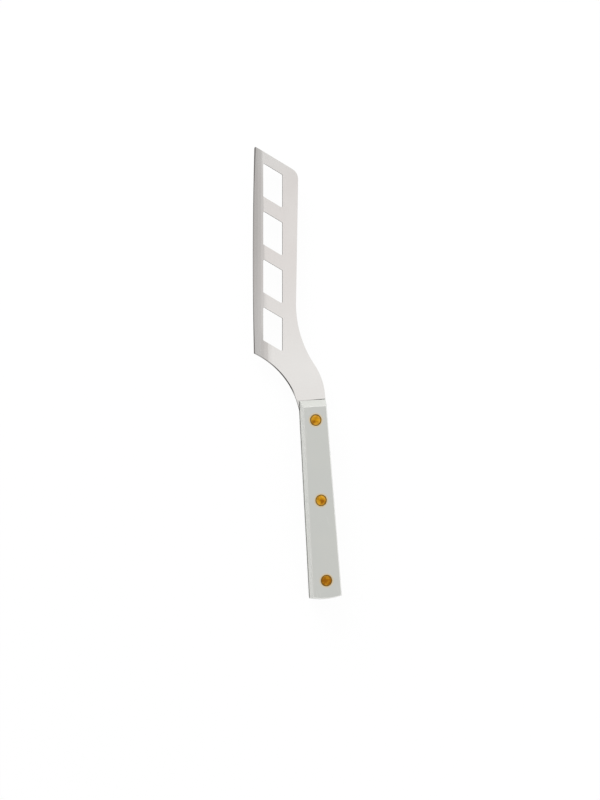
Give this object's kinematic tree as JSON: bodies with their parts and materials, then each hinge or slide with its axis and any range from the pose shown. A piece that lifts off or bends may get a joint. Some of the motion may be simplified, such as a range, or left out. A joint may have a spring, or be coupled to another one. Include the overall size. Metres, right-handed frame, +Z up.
{
  "type": "foie gras knife",
  "caption": "Offset foie gras knife: a thin slanted steel blade pierced by windows, on a full tang with riveted handle scales.",
  "frame": {"origin": "below the middle of the knife's bounding box, in the plane of the back scale's outer face", "axes": "+Z up and square to the blade, +Y along the cutting edge towards the tip, +X from the cutting edge towards the spine"},
  "size_m": [0.0576, 0.29, 0.015],
  "materials": {
    "steel": "satin",
    "scale": "smooth, slightly glossy",
    "brass": "polished"
  },
  "bodies": {
    "root": {"blade": "steel", "front_scale": "scale", "back_scale": "scale", "rivet_pin_1": "brass", "rivet_pin_2": "brass", "rivet_pin_3": "brass", "rivet_sleeve_1": "brass", "rivet_sleeve_2": "brass", "rivet_sleeve_3": "brass"}
  },
  "joints": []
}
